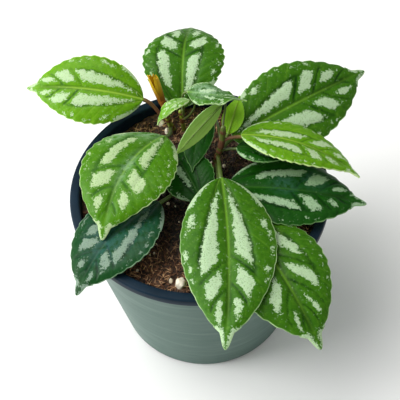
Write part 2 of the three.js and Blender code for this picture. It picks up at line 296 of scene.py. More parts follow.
class Tree:
    """A node tree that is built one call at a time."""

    def __init__(self, nodes, links):
        self.nodes = nodes
        self.links = links

    def node(self, kind, settings=None, sockets=None):
        """Adds a node, sets it up, fills or links its inputs, and returns its first output."""
        made = self.nodes.new(kind)
        for name, value in (settings or {}).items():
            if name == "stops":
                set_stops(made.color_ramp, value)
            else:
                setattr(made, name, value)
        for key, value in (sockets or {}).items():
            entry = find_input(made, key)
            if isinstance(value, Socket):
                self.links.new(value.output, entry)
            else:
                entry.default_value = value
        outputs = [output for output in made.outputs if output.enabled]
        return Socket(self, outputs[0]) if outputs else made

    def mix(self, first, second, share):
        """A colour between two others."""
        sockets = {"Factor_Float": share, "A_Color": first, "B_Color": second}
        return self.node("ShaderNodeMix", {"data_type": "RGBA"}, sockets)

    def noise(self, place, scale, detail=3, roughness=0.55):
        """A noise pattern from 0 to 1, finer as its scale and detail grow."""
        sockets = {"Vector": place, "Scale": scale, "Detail": detail, "Roughness": roughness}
        return self.node("ShaderNodeTexNoise", {}, sockets)

    def attribute(self, name):
        """What a mesh attribute says at each point."""
        return self.node("ShaderNodeAttribute", {"attribute_name": name}).part("Fac")


def find_input(made, key):
    """A node's input by its place, its identifier or its name."""
    if isinstance(key, int):
        return made.inputs[key]
    for entry in made.inputs:
        if key == entry.identifier:
            return entry
    return next(entry for entry in made.inputs if entry.name == key and entry.enabled)


def set_stops(ramp, stops):
    """Gives a colour ramp its stops, each a position and a colour."""
    while len(ramp.elements) < len(stops):
        ramp.elements.new(1)
    for element, (position, colour) in zip(ramp.elements, stops):
        element.position = position
        element.color = colour


def tone(red, green, blue):
    """A colour of 0 to 255 a channel, as the linear colour that a shader takes."""
    def linear(channel):
        share = channel / 255
        return share / 12.92 if share <= 0.04045 else ((share + 0.055) / 1.055) ** 2.4
    return (linear(red), linear(green), linear(blue), 1)


def new_material(name):
    """A material with its tree, its Principled shader and the Object coordinates."""
    material = bpy.data.materials.new(name)
    material.use_nodes = True
    tree = Tree(material.node_tree.nodes, material.node_tree.links)
    shader = material.node_tree.nodes["Principled BSDF"]
    place = tree.node("ShaderNodeTexCoord").part("Object")
    return material, tree, shader, place


def finish_shader(tree, shader, values):
    """Sets or links the Principled shader's inputs."""
    for name, value in values.items():
        if isinstance(value, Socket):
            tree.links.new(value.output, shader.inputs[name])
        else:
            shader.inputs[name].default_value = value


def bump(tree, height, strength, distance):
    """A normal from a height pattern, with the depth of the relief in millimetres."""
    sockets = {"Height": height, "Strength": strength, "Distance": distance * MM}
    return tree.node("ShaderNodeBump", {}, sockets)


# ---------------------------------------------------------------- meshes

def add_object(name, data):
    """An object with its data, in the scene."""
    made = bpy.data.objects.new(name, data)
    bpy.context.scene.collection.objects.link(made)
    return made


def make_piece(name, points, faces, materials, face_materials=None, attributes=None, sharp=0):
    """A mesh object from points in millimetres. Edges steeper than `sharp` degrees stay sharp."""
    mesh = bpy.data.meshes.new(name)
    mesh.from_pydata((np.asarray(points, float) * MM).tolist(), [], [list(face) for face in faces])
    for material in materials:
        mesh.materials.append(material)
    if face_materials is not None:
        mesh.polygons.foreach_set("material_index", np.asarray(face_materials, np.int32))
    for key, values in (attributes or {}).items():
        layer = mesh.attributes.new(key, "FLOAT", "POINT")
        layer.data.foreach_set("value", np.asarray(values, np.float32))
    work = bmesh.new()
    work.from_mesh(mesh)
    bmesh.ops.recalc_face_normals(work, faces=work.faces)
    work.to_mesh(mesh)
    work.free()
    mesh.shade_smooth()
    if sharp:
        mesh.set_sharp_from_angle(angle=math.radians(sharp))
    return add_object(name, mesh)


def plain_mesh(piece):
    """Turns what the modifiers make into the piece's own mesh, and removes them."""
    bpy.context.view_layer.update()
    graph = bpy.context.evaluated_depsgraph_get()
    made = bpy.data.meshes.new_from_object(piece.evaluated_get(graph), depsgraph=graph)
    piece.modifiers.clear()
    piece.data = made


def unit(vectors):
    """Vectors of length 1 that point the same way."""
    return vectors / np.linalg.norm(vectors, axis=-1, keepdims=True)


def curve_through(points, count):
    """Points along a smooth Catmull-Rom curve through the given ones."""
    points = np.asarray(points, float)
    padded = np.vstack([2 * points[0] - points[1], points, 2 * points[-1] - points[-2]])
    along = np.linspace(0, len(points) - 1, count)
    first = np.minimum(along.astype(int), len(points) - 2)
    t = (along - first)[:, None]
    before, start, end, after = (padded[first + k] for k in range(4))
    return 0.5 * (2 * start + (end - before) * t
                  + (2 * before - 5 * start + 4 * end - after) * t**2
                  + (3 * start - before - 3 * end + after) * t**3)


def curve_cubic(start, leave, arrive, end, count):
    """Points along a cubic Bezier curve."""
    t = np.linspace(0, 1, count)[:, None]
    return ((1 - t)**3 * start + 3 * t * (1 - t)**2 * leave
            + 3 * t**2 * (1 - t) * arrive + t**3 * end)


def tube(path, radii, sides, flatten=None):
    """Points and faces of a closed tube. `flatten` gives side vectors and a share of height."""
    forward = unit(np.gradient(path, axis=0))
    guide = flatten[0] if flatten else np.tile([1.0, 0.2, 0.1], (len(path), 1))
    side = unit(guide - (guide * forward).sum(1, keepdims=True) * forward)
    normal = np.cross(forward, side)
    height = flatten[1] if flatten else 1
    angles = np.arange(sides) * 2 * np.pi / sides
    radii = np.asarray(radii, float)[:, None, None]
    around = (np.cos(angles)[None, :, None] * side[:, None]
              + height * np.sin(angles)[None, :, None] * normal[:, None])
    points = (path[:, None] + radii * around).reshape(-1, 3)
    faces = grid_faces(len(path), sides, closed=True)
    faces.append(list(range(sides)))
    faces.append([len(points) - 1 - k for k in range(sides)])
    return points, faces


def shifted(faces, first):
    """The same faces on points that begin at another place in the list."""
    return [[index + first for index in face] for face in faces]


def grid_faces(rows, columns, closed=False, first=0):
    """The four-sided faces of a grid of points, joined round into a tube if it is closed."""
    faces = []
    for row in range(rows - 1):
        for column in range(columns if closed else columns - 1):
            after = (column + 1) % columns
            a = first + row * columns + column
            b = first + row * columns + after
            faces.append([a, a + columns, b + columns, b])
    return faces


def circle(radius, z, count):
    """Points on a level circle round the middle of the pot."""
    angles = [2 * math.pi * k / count for k in range(count)]
    return [(radius * math.cos(angle), radius * math.sin(angle), z) for angle in angles]


def fan(middle, first, count):
    """Triangles from a middle point to the points of a ring."""
    return [[middle, first + k, first + (k + 1) % count] for k in range(count)]


def shell_faces(rows, columns):
    """The faces of two grids, one behind the other, and those that join them all round."""
    count = rows * columns
    front = grid_faces(rows, columns)
    back = [face[::-1] for face in shifted(front, count)]
    border = []
    for row in range(rows - 1):
        for start in (row * columns, row * columns + columns - 1):
            border.append([start, start + columns, start + columns + count, start + count])
    for column in range(columns - 1):
        for start in (column, (rows - 1) * columns + column):
            border.append([start, start + 1, start + 1 + count, start + count])
    return front, back, border


# ---------------------------------------------------------------- skins

LEAF_TONES = {
    # quilted green, deep green of the channels, line of the veins, silver, margin, painted sheen
    "fresh": (tone(54, 104, 11), tone(12, 54, 1), tone(104, 154, 40), tone(174, 201, 160),
              tone(170, 200, 142), tone(150, 182, 150)),
    # painted light: a lighter, yellower copy of the skin for the leaves that light shines through
    "bright": (tone(92, 146, 14), tone(40, 90, 1), tone(146, 188, 58), tone(178, 204, 158),
               tone(196, 222, 146), tone(160, 190, 140)),
    "shaded": (tone(18, 64, 22), tone(6, 38, 12), tone(44, 90, 40), tone(122, 144, 126),
               tone(128, 160, 126), tone(46, 88, 84)),
    "speckled": (tone(66, 118, 7), tone(28, 78, 1), tone(110, 156, 44), tone(168, 192, 142),
                 tone(182, 208, 146), tone(134, 170, 130)),
    # painted shade: a darker copy of the skin for leaves that lie in shadow
    "dark": (tone(20, 72, 10), tone(3, 38, 5), tone(48, 98, 28), tone(152, 182, 144),
             tone(116, 158, 96), tone(56, 96, 82)),
}
FRECKLES = {"fresh": 0.35, "bright": 0.3, "shaded": 0.25, "speckled": 0.6, "dark": 0.15}

UNDER_TONES = {
    # the skin, its cloudy patches, line of the veins
    "leaf_under": (tone(166, 212, 98), tone(136, 186, 70), tone(186, 222, 126)),
    "lit_leaf_under": (tone(118, 172, 8), tone(84, 136, 4), tone(140, 188, 26)),
}

STALK_TONES = {
    # at the start, at the end, at the nodes
    "green_petiole": (tone(58, 72, 18), tone(120, 156, 64), tone(84, 54, 24)),
    "lit_petiole": (tone(84, 110, 16), tone(118, 156, 18), tone(84, 54, 24)),
    "brown_petiole": (tone(112, 66, 44), tone(150, 150, 66), tone(92, 52, 36)),
    "old_stem": (tone(62, 62, 20), tone(76, 92, 24), tone(84, 48, 22)),
    "young_stem": (tone(100, 108, 28), tone(134, 156, 40), tone(104, 60, 24)),
}


def flesh(weight, colours):
    """Light that spreads under a skin: how much of it, and how far for each colour, in mm."""
    return {"Subsurface Weight": weight, "Subsurface Radius": colours, "Subsurface Scale": MM}


def blade_top_skin(name):
    """The upper side of a blade: green with ragged matt silver patches, flecks and fine veins."""
    green, deep, line, silver, margin, glaze = LEAF_TONES[name]
    material, tree, shader, place = new_material(f"{name}_leaf_top")
    ragged = tree.noise(place, 1300, 4, 0.75)
    uneven = tree.noise(place, 420, 3)
    edge_of_patch = tree.attribute("silver") + (ragged - 0.5) * 5 + (uneven - 0.5) * 3.6
    patch = edge_of_patch.step(-0.1, 0.25)
    specks = tree.noise(place, 2300, 2).step(0.54, 0.68)
    freckles = tree.noise(place, 900, 2) + 0.07 * FRECKLES[name]
    freckles = freckles.step(0.65, 0.77) * min(1, 0.2 + FRECKLES[name])
    patch = (patch * (1 - 0.6 * specks)).largest(freckles * 0.55)
    cloud = tree.noise(place, 90, 3)
    mottle = tree.noise(place, 480, 4, 0.65)
    channels = (tree.attribute("hollow") + (cloud - 0.5) * 1.5).step(0.1, 1)
    leaf_green = tree.mix(green, deep, channels)
    leaf_green = tree.mix(leaf_green, line, mottle.step(0.5, 0.8) * 0.35)
    leaf_green = tree.mix(leaf_green, deep, (1 - mottle).step(0.52, 0.75) * 0.45)
    leaf_green = tree.mix(leaf_green, line, tree.attribute("vein"))
    # painted sheen: the colour is drawn towards the skin's sheen tone, standing in for a reflection
    sheen = tree.attribute("glaze") * mottle.step(0.3, 0.6)
    coloured = tree.mix(tree.mix(leaf_green, glaze, sheen * 0.7), silver, patch)
    rim = 1 - (tree.attribute("edge") + (uneven - 0.5) * 0.4).step(0.12, 0.4)
    coloured = tree.mix(coloured, margin, rim * (0.45 + 0.5 * cloud.step(0.4, 0.6)))
    pores = tree.noise(place, 2600, 3, 0.6)
    finish_shader(tree, shader, {
        "Base Color": coloured,
        "Roughness": 0.36 + patch * 0.2 + (cloud - 0.5) * 0.16 - sheen * 0.1,
        "Specular IOR Level": 0.08,
        "Normal": bump(tree, pores * 0.4 + mottle * 0.8 + ragged * patch, 0.4, 0.3),
        "Coat Weight": 0.04,
        "Coat Roughness": 0.2,
        **flesh(0.12, (0.6, 1.0, 0.3)),
    })
    return material


def blade_under_skin(name):
    """The under side of a blade: matt and pale, with raised veins of a lighter green."""
    base, cloudy, line = UNDER_TONES[name]
    material, tree, shader, place = new_material(name)
    cloud = tree.noise(place, 140, 3)
    pores = tree.noise(place, 1800, 3, 0.6)
    shade = tree.mix(base, cloudy, cloud.step(0.35, 0.75) * 0.6)
    finish_shader(tree, shader, {
        "Base Color": tree.mix(shade, line, tree.attribute("vein")),
        "Roughness": 0.55 + (pores - 0.5) * 0.2,
        "Specular IOR Level": 0.25,
        "Normal": bump(tree, pores, 0.3, 0.2),
        **flesh(0.2, (0.6, 1.0, 0.3)),
    })
    return material


def stalk_skin(name):
    """A stem or petiole: streaked along its length, and browner where `brown` says."""
    at_start, at_end, at_nodes = STALK_TONES[name]
    material, tree, shader, place = new_material(name)
    stretched = tree.node("ShaderNodeMapping", {}, {"Vector": place, "Scale": (1, 1, 0.12)})
    streaks = tree.noise(stretched, 1500, 3)
    cloud = tree.noise(place, 300, 3)
    along = (tree.attribute("along") + (cloud - 0.5) * 0.4).step(0, 1)
    coloured = tree.mix(at_start, at_end, along)
    brown = (tree.attribute("brown") + (cloud - 0.5) * 0.6).step(0.25, 0.8)
    coloured = tree.mix(coloured, at_nodes, brown)
    coloured = tree.mix(coloured, tone(40, 44, 14), streaks.step(0.5, 0.75) * 0.45)
    finish_shader(tree, shader, {
        "Base Color": coloured,
        "Roughness": 0.4 + brown * 0.2,
        "Normal": bump(tree, streaks, 0.35, 0.2),
        "Coat Weight": 0.1,
        **flesh(0.12, (0.8, 0.8, 0.3)),
    })
    return material


def bud_skin():
    """Papery amber scales, browner towards their base."""
    material, tree, shader, place = new_material("bud_scale")
    cloud = tree.noise(place, 500, 3)
    along = (tree.attribute("along") + (cloud - 0.5) * 0.3).step(0.1, 0.9)
    coloured = tree.mix(tone(136, 80, 14), tone(212, 178, 20), along)
    stretched = tree.node("ShaderNodeMapping", {}, {"Vector": place, "Scale": (1, 1, 0.15)})
    fibres = tree.noise(stretched, 2200, 3)
    finish_shader(tree, shader, {
        "Base Color": tree.mix(coloured, tone(112, 54, 8), fibres.step(0.5, 0.7) * 0.35),
        "Roughness": 0.42 + (cloud - 0.5) * 0.2,
        "Normal": bump(tree, fibres, 0.4, 0.2),
        **flesh(0.25, (1.0, 0.6, 0.2)),
    })
    return material


def pot_plastic(name, base, streak, worn, roughness, sheen):
    """Moulded plastic with faint drawn streaks and worn bands round it, and fine dust."""
    material, tree, shader, place = new_material(name)
    flat = tree.node("ShaderNodeMapping", {}, {"Vector": place, "Scale": (0.08, 0.08, 1)})
    bands = tree.noise(flat, 900, 4, 0.6)
    cloud = tree.noise(place, 45, 3)
    waves = tree.noise(flat, 260, 4, 0.6)
    dust = tree.noise(place, 1400, 3).step(0.62, 0.75)
    coloured = tree.mix(base, streak, bands.step(0.35, 0.8) * 0.6 + cloud * 0.25)
    coloured = tree.mix(coloured, worn, waves.step(0.48, 0.7) * 0.4)
    finish_shader(tree, shader, {
        "Base Color": tree.mix(coloured, tone(128, 132, 126), dust * 0.05),
        "Roughness": roughness + (cloud - 0.5) * 0.14 + dust * 0.1,
        "Specular IOR Level": sheen,
        "Normal": bump(tree, bands + dust * 0.3, 0.12, 0.15),
    })
    return material


def damp_and_leaf_shade(tree, place):
    """1 in the middle of the pot, where the peat is wet and the leaves above cast painted shade,
    and 0 towards the rim, where the mix has dried.
    """
    flat = tree.node("ShaderNodeVectorMath", {"operation": "MULTIPLY"}, {0: place, 1: (1, 1, 0)})
    from_middle = tree.node("ShaderNodeVectorMath", {"operation": "LENGTH"}, {0: flat})
    return 1 - (from_middle + (tree.noise(place, 90, 2) - 0.5) * 0.02).step(0.024, 0.038)


def soil_earth():
    """Potting mix: near-black in the middle, for wet peat and as painted shade from the leaves
    above, and browner crumbs towards the rim.
    """
    material, tree, shader, place = new_material("potting_mix")
    grains = tree.noise(place, 700, 5, 0.7)
    patches = tree.noise(place, 110, 3)
    stops = [(0.3, tone(24, 14, 8)), (0.48, tone(66, 43, 28)), (0.62, tone(112, 76, 50)),
             (0.78, tone(154, 114, 80))]
    dry = tree.node("ShaderNodeValToRGB", {"stops": stops}, {"Fac": grains})
    # darker in the middle, for wet peat and as painted shade from the leaves above, and in random
    # patches
    dark = (damp_and_leaf_shade(tree, place) * 0.93).largest(patches.step(0.4, 0.7) * 0.4)
    finish_shader(tree, shader, {
        "Base Color": tree.mix(dry, tone(9, 7, 5), dark),
        "Roughness": 0.85 - grains * 0.15,
        "Normal": bump(tree, grains, 0.8, 0.8),
    })
    return material


def litter_stuff(name, light, dark, roughness, damp_and_shade):
    """Loose bits on the soil: each has a shade of its own, and is darker towards the middle, for
    wet peat and as painted shade from the leaves above.
    """
    material, tree, shader, place = new_material(name)
    each = tree.noise(place, 420, 1)
    grain = tree.noise(place, 2600, 3)
    coloured = tree.mix(dark, light, each.step(0.38, 0.62))
    coloured = tree.mix(coloured, dark, grain.step(0.5, 0.8) * 0.5)
    finish_shader(tree, shader, {
        # darker towards the middle, for wet peat and as painted shade from the leaves above
        "Base Color": tree.mix(coloured, tone(14, 10, 7), damp_and_leaf_shade(tree, place) * damp_and_shade),
        "Roughness": roughness,
        "Normal": bump(tree, grain, 0.4, 0.2),
    })
    return material


# ---------------------------------------------------------------- leaves

# Here t runs along a blade, from 0 at its base to 1 at its tip, and v runs across it, from -1 at
# its left margin to 1 at its right one. Depths and distances are in millimetres.

def outline(t):
    """Width along the blade, as a share of its full width: an oval that ends in a drip tip."""
    oval = np.sin(np.pi * np.minimum(1, t / FULL_LENGTH)**0.87)**0.65
    left = np.clip((1 - t) / (1 - LAST_TOOTH), 0, 1)
    drip = 0.16 * left**0.5 + 0.08 * left**6
    return np.maximum(oval, np.where(t < LAST_TOOTH, 0.05, drip))


def tooth_cut(t):
    """How deep the margin is cut back between the teeth, which lean forward."""
    pitch = (LAST_TOOTH - FIRST_TOOTH) / TEETH
    phase = ((t - FIRST_TOOTH) / pitch) % 1
    back, front = (phase / TOOTH_LEAN)**0.7, (1 - phase) / (1 - TOOTH_LEAN)
    rise = np.where(phase < TOOTH_LEAN, back, front)
    toothed = (t > FIRST_TOOTH) & (t < LAST_TOOTH)
    return np.where(toothed, TOOTH_DEPTH * (1 - rise), 0)


def midrib(leaf, t):
    """Points and directions along the midrib: point, forward, sideways and upward."""
    base = np.array(leaf.base, float)
    chord = np.array(leaf.tip, float) - base
    length = np.linalg.norm(chord)
    side = unit(np.cross(UP, chord))
    top = unit(np.cross(chord, side))
    t = np.asarray(t, float)[:, None]
    rise = 4 * t * (1 - t) * length
    slope = 4 * (1 - 2 * t) * length
    lean = leaf.arch * top + leaf.bend * side
    point = base + chord * t + lean * rise
    forward = unit(chord + lean * slope)
    level = unit(side - (forward @ side)[:, None] * forward)
    angle = np.radians(leaf.roll + leaf.twist * (t - 0.5))
    sideways = level * np.cos(angle) + np.cross(forward, level) * np.sin(angle)
    return point, forward, sideways, np.cross(forward, sideways)


def groove(distance, width):
    """1 on a line and 0 away from it, given how far from the line each point is."""
    return np.exp(-(distance / width)**2)


def long_band(leaf, t, v):
    """Between which shares of the half width the long patch lies, at each point."""
    (inner_start, outer_start), (inner_end, outer_end) = leaf.band
    along = (t - 0.1) / 0.4
    inner = inner_start + (inner_end - inner_start) * np.clip(along, 0, 1)
    outer = outer_start + (outer_end - outer_start) * np.clip(along, -0.6, 1.3)
    shift = leaf.skew * np.sign(v)
    return np.maximum(inner - shift, 0.06), outer - shift


def slanted(leaf, t, v):
    """Shares of the length as the slanting rows of patches count them, with the halves shifted."""
    return t - leaf.lean * np.abs(v) + np.where(v < 0, -leaf.shift, leaf.shift)


def blend_down(first, second, softness):
    """The lesser of two distances, rounded where they meet."""
    return (first + second - np.sqrt((first - second)**2 + softness**2)) / 2


def silver_depth(leaf, t, v, half, length, rng):
    """How far each point lies inside a silver patch, in millimetres."""
    inward = np.abs(v)
    size = leaf.width / BROAD_LEAF
    lag = slanted(leaf, t, v)
    silver = np.full_like(t, FAR_OUTSIDE)
    long_inner, long_outer = long_band(leaf, t, v)
    bands = ((long_inner, long_outer - 0.02), *SHORT_BANDS)
    for (start, end), (inner, outer) in zip(leaf.patches, bands):
        ends_off = np.minimum(lag - start, end - lag) * length
        sides_off = blend_down(inward - inner, outer - inward, 0.06) * half
        silver = np.maximum(silver, blend_down(ends_off, sides_off, 1.2 * size) + 0.1)
    from_shoulder = (inward - 0.82 - 0.5 * np.maximum(0, t - 0.1)) * half
    silver = np.maximum(silver, np.minimum(from_shoulder, (0.2 - t) * length))
    for side in (-1, 1):
        for share, place, reach in SPOTS:
            share = share + rng.uniform(-0.03, 0.03)
            reach = reach * leaf.spots * rng.uniform(0.5, 1.2)
            away = np.hypot((t - share) * length / 1.9, (v * side - place) * half)
            silver = np.maximum(silver, reach * size - away)
    drip = np.minimum((t - 0.885) * length, (inward - 0.4) * half)
    silver = np.maximum(silver, drip)
    for side in leaf.plain:
        silver = np.where(v * side >= 0, FAR_OUTSIDE, silver)
    return silver


def markings(leaf, t, v, half, length, rng):
    """What the skin and the quilting need at each point of a blade.

    Returns the skin's attributes by name (the depth inside a silver patch and inside the margin
    in millimetres, the shares of a vein, of its hollow and of a painted sheen that stands in for a
    reflection), and the puff from 0 to 1.
    """
    inward = np.abs(v)
    size = leaf.width / BROAD_LEAF
    lateral = long_band(leaf, t, v)[1]
    from_midrib = inward * half
    from_lateral = np.abs(inward - lateral) * half
    lag = slanted(leaf, t, v)
    starts = [patch[0] for patch in leaf.patches]
    ends = [patch[1] for patch in leaf.patches]
    crossing = [(ends[0] + starts[1]) / 2, (ends[1] + starts[2]) / 2, ends[2] + 0.05]
    from_crossing = np.min([np.abs(lag - place) * length for place in crossing], axis=0)
    outer_lag = t - 0.28 * np.maximum(0, inward - lateral)
    from_fine = np.min([np.abs(outer_lag - place) * length for place in FINE_VEINS], axis=0)
    outside = np.clip((inward - lateral) / 0.08, 0, 1)

    hollow = np.maximum.reduce([
        groove(from_midrib, 1.1 * size),
        0.9 * groove(from_lateral, 0.9 * size) * np.clip((0.7 - t) / 0.2, 0, 1),
        0.8 * groove(from_crossing, 0.8 * size) * (1 - 0.7 * outside),
        0.3 * groove(from_fine, 0.8 * size) * outside,
    ]) * np.clip((0.9 - t) / 0.1, 0, 1)
    vein = np.maximum.reduce([
        groove(from_midrib, 0.5 * size + 0.1) * np.clip(1.6 - 1.6 * t, 0, 1),
        0.7 * groove(from_lateral, 0.3 * size + 0.05) * np.exp(-t / 0.2),
        0.3 * groove(from_fine, 0.22 * size + 0.05) * outside,
    ])
    # painted sheen: patches round given points where the skin takes a tone that stands in for a
    # reflection
    glaze = np.zeros_like(t)
    for share, place, reach, spread in leaf.glaze:
        away = ((t - share) / reach)**2 + ((v - place) / spread)**2
        glaze = np.maximum(glaze, np.exp(-away))
    inside = (1 - inward) * half
    puffed = (1 - hollow) * np.clip(inside / (3 * size), 0, 1)**0.7
    silver = silver_depth(leaf, t, v, half, length, rng)
    skin = {"silver": silver, "edge": inside, "vein": vein, "hollow": hollow, "glaze": glaze}
    return skin, puffed


def blade_shell(leaf, rows, columns, rng):
    """Points, faces, face materials and vertex attributes of a blade with both its sides.

    The rows lie closer together towards both ends.
    """
    spread = np.linspace(0, 1, rows)
    t_rows = spread - 0.1 * np.sin(2 * np.pi * spread)
    v_columns = np.linspace(-1, 1, columns)
    point, _, sideways, upward = midrib(leaf, t_rows)
    length = np.linalg.norm(np.subtract(leaf.tip, leaf.base))
    half_rows = (outline(t_rows) - leaf.teeth * tooth_cut(t_rows)) * leaf.width / 2
    half_rows = np.maximum(half_rows, 0.2)
    t, v = np.meshgrid(t_rows, v_columns, indexing="ij")
    half = np.repeat(half_rows[:, None], columns, axis=1)
    skin, puffed = markings(leaf, t, v, half, length, rng)

    fold = math.tan(math.radians(leaf.fold))
    folded = np.sqrt(v**2 + 0.004) - 0.063  # the share of the half width, rounded at the midrib
    rise = half * (fold * folded - BLADE_CUP * v**2)
    rise += PUFF * leaf.width / 2 * (puffed - 0.6)
    waves = sum(np.sin(2 * np.pi * (k * t + rng.uniform()) + (v > 0) * 2) / k for k in (2, 3, 5))
    rise += leaf.ripple * leaf.width / BROAD_LEAF * waves * np.abs(v)**3 * np.sin(np.pi * t)
    thickness = BLADE_THICKNESS * (1 - 0.55 * v**4) + 0.25 * skin["vein"]
    ends = np.clip(t / 0.02, 0.4, 1)
    over = (point[:, None] + sideways[:, None] * (half * v)[..., None]
            + upward[:, None] * rise[..., None])
    under = over - upward[:, None] * (thickness * ends)[..., None]

    front, back, border = shell_faces(rows, columns)
    face_skins = [0] * len(front) + [1] * len(back) + [0] * len(border)
    attributes = {key: np.tile(value.ravel(), 2) for key, value in skin.items()}
    points = np.concatenate([over.reshape(-1, 3), under.reshape(-1, 3)])
    return points, front + back + border, face_skins, attributes


def stem_point(name, height):
    """The point on a stem's centre line at a given height."""
    line = curve_through(STEMS[name].points, 400)
    return line[np.argmin(np.abs(line[:, 2] - height))]


def petiole_tube(leaf):
    """The petiole from its stem to the blade, and on as the midrib under the blade to its tip."""
    stem = STEMS[leaf.stem]
    t = np.linspace(0, 0.96, MIDRIB_ROWS)
    point, forward, sideways, upward = midrib(leaf, t)
    girth = PETIOLE_GIRTH * min(1, 0.45 + leaf.width / 60)
    under = girth * (1 - t)**0.7 * 0.75 + 0.12
    dip = 0.6 * PUFF * leaf.width / 2
    rib = point - upward * (0.85 * under + 0.3 + dip)[:, None]
    on_stem = stem_point(leaf.stem, leaf.node)
    outwards = unit((point[0] - on_stem) * (1, 1, 0))
    root = on_stem + outwards * stem.radius * 0.5
    third = np.linalg.norm(point[0] - root) / 3
    leave = root + unit(outwards + 0.8 * UP) * third
    stalk = curve_cubic(root, leave, rib[0] - forward[0] * third, rib[0], PETIOLE_ROWS + 1)
    path = np.concatenate([stalk[:-1], rib])
    share = np.linspace(0, 1, PETIOLE_ROWS)
    swollen = 1.25 - 0.35 * np.minimum(1, share * 4)**0.6 + 0.1 * share**3
    radii = np.concatenate([girth * swollen, under])
    guide = np.concatenate([np.tile(sideways[0], (PETIOLE_ROWS, 1)), sideways])
    points, faces = tube(path, radii, PETIOLE_SIDES, (guide, 0.85))
    along = np.concatenate([share * 0.36, np.ones(MIDRIB_ROWS)])
    brown = np.concatenate([np.clip(1 - share * 5, 0, 1), np.zeros(MIDRIB_ROWS)])
    attributes = {"along": np.repeat(along, PETIOLE_SIDES),
                  "brown": np.repeat(brown, PETIOLE_SIDES)}
    return points, faces, attributes


def make_leaf(name, leaf, skins, number):
    """A whole leaf: a quilted blade with both its skins, and its petiole and midrib."""
    rng = np.random.default_rng(LEAF_SEED + number)
    grid = BROAD_GRID if leaf.width > SMALL_WIDTH else SMALL_GRID
    points, faces, face_skins, on_blade = blade_shell(leaf, *grid, rng)
    stalk_points, stalk_faces, on_stalk = petiole_tube(leaf)
    faces = faces + shifted(stalk_faces, len(points))
    face_skins = face_skins + [2] * len(stalk_faces)
    attributes = {}
    for key in (*on_blade, *on_stalk):
        parts = [on_blade.get(key, np.zeros(len(points))),
                 on_stalk.get(key, np.zeros(len(stalk_points)))]
        attributes[key] = np.concatenate(parts)
    materials = [skins[f"{leaf.skin}_top"], skins[f"{leaf.under}_under"],
                 skins[f"{leaf.petiole}_petiole"]]
    points = np.concatenate([points, stalk_points])
    piece = make_piece(f"blade_{name}", points, faces, materials, face_skins, attributes, sharp=50)
    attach(piece, "root")
    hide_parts(f"leaf_{name}")


def bud_scale(wrap, turn, height):
    """Points of one papery scale with a jagged top, outer face first, and how far up each lies."""
    base, tip = np.array(BUD.base, float), np.array(BUD.tip, float)
    axis = unit(tip - base)
    side = unit(np.cross(axis, [0.0, 1.0, 0.0]))
    front = np.cross(side, axis)
    rows, columns = BUD_GRID
    points, along = [], []
    for inset in (0, BUD_THICKNESS):
        for t in np.linspace(0, 1, rows):
            centre = base + (tip - base) * t * height
            reach = BUD.width / 2 * wrap * (0.8 + 0.5 * t) * (1 - 0.2 * t**5) - inset
            for angle in np.linspace(-1.9, 1.9, columns) * (1 - 0.35 * t**2) + turn:
                jag = (0.4 * math.sin(9 * angle) + 0.6 * math.sin(3 * angle + 1)) * t**6
                points.append(centre + axis * jag + side * reach * math.cos(angle)
                              + front * reach * 0.7 * math.sin(angle))
                along.append(t)
    return points, along


def make_bud(skin):
    """Two papery scales wrapped round each other, on a short foot at the top of the shoot."""
    points, faces, along = [], [], []
    for wrap in BUD_WRAPS:
        scale, heights = bud_scale(*wrap)
        faces += shifted(sum(shell_faces(*BUD_GRID), []), len(points))
        points += scale
        along += heights
    foot, base = stem_point(BUD.stem, BUD.node), np.array(BUD.base, float)
    axis = unit(np.subtract(BUD.tip, BUD.base))
    path = curve_cubic(foot, foot + UP * 2, base - axis * 3, base + axis * 1.5, BUD_FOOT_ROWS)
    stalk, stalk_faces = tube(path, np.linspace(0.9, 1.5, BUD_FOOT_ROWS), PETIOLE_SIDES)
    faces += shifted(stalk_faces, len(points))
    points = np.concatenate([points, stalk])
    attributes = {"along": along + [0.0] * len(stalk)}
    piece = make_piece("bud_scales", points, faces, [skin], None, attributes, sharp=60)
    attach(piece, "root")
    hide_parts("bud")


# ---------------------------------------------------------------- stems

def make_stem(name, stem, skin):
    """A slightly ribbed stem, swollen and brown at each node that carries a leaf."""
    rows, sides = STEM_GRID
    path = curve_through(stem.points, rows)
    share = np.linspace(0, 1, rows)
    nodes = [leaf.node for leaf in [*LEAVES.values(), BUD] if leaf.stem == name]
    swell = sum(groove(path[:, 2] - node, 1.1) for node in nodes)
    radii = stem.radius * (1 - STEM_TAPER * share) * (1 + 0.22 * np.minimum(1, swell))
    radii[-3:] *= (0.95, 0.8, 0.45)
    points, faces = tube(path, radii, sides)
    centres = np.repeat(path, sides, axis=0)
    ribs = 1 + 0.05 * np.cos(np.tile(np.arange(sides) * 4 * 2 * np.pi / sides, rows))
    points = centres + (points - centres) * ribs[:, None]
    attributes = {"along": np.repeat(share, sides),
                  "brown": np.repeat(np.minimum(1, swell), sides)}
    piece = make_piece(f"{name}_stalk", points, faces, [skin], None, attributes, sharp=60)
    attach(piece, "root")
    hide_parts(name)


# ---------------------------------------------------------------- pot

def outer_radius(z):
    """The radius of the wall's outside at a height."""
    share = z / (POT_HEIGHT - LIP_HEIGHT)
    return POT_BASE_RADIUS + (POT_RIM_RADIUS - LIP_REACH - POT_BASE_RADIUS) * share


def inner_radius(z):
    """The radius of the wall's inside at a height."""
    share = (z - POT_FLOOR) / (POT_HEIGHT - LIP_HEIGHT - POT_FLOOR)
    start = POT_BASE_RADIUS - POT_WALL
    return start + (POT_RIM_RADIUS - LIP_WIDTH - start) * share


def rounded(x, z, radius, start_angle, end_angle):
    """An arc round the centre (x, z), for a profile of (radius, height) points."""
    angles = np.radians(np.linspace(start_angle, end_angle, 5))
    return [(x + radius * math.cos(angle), z + radius * math.sin(angle)) for angle in angles]


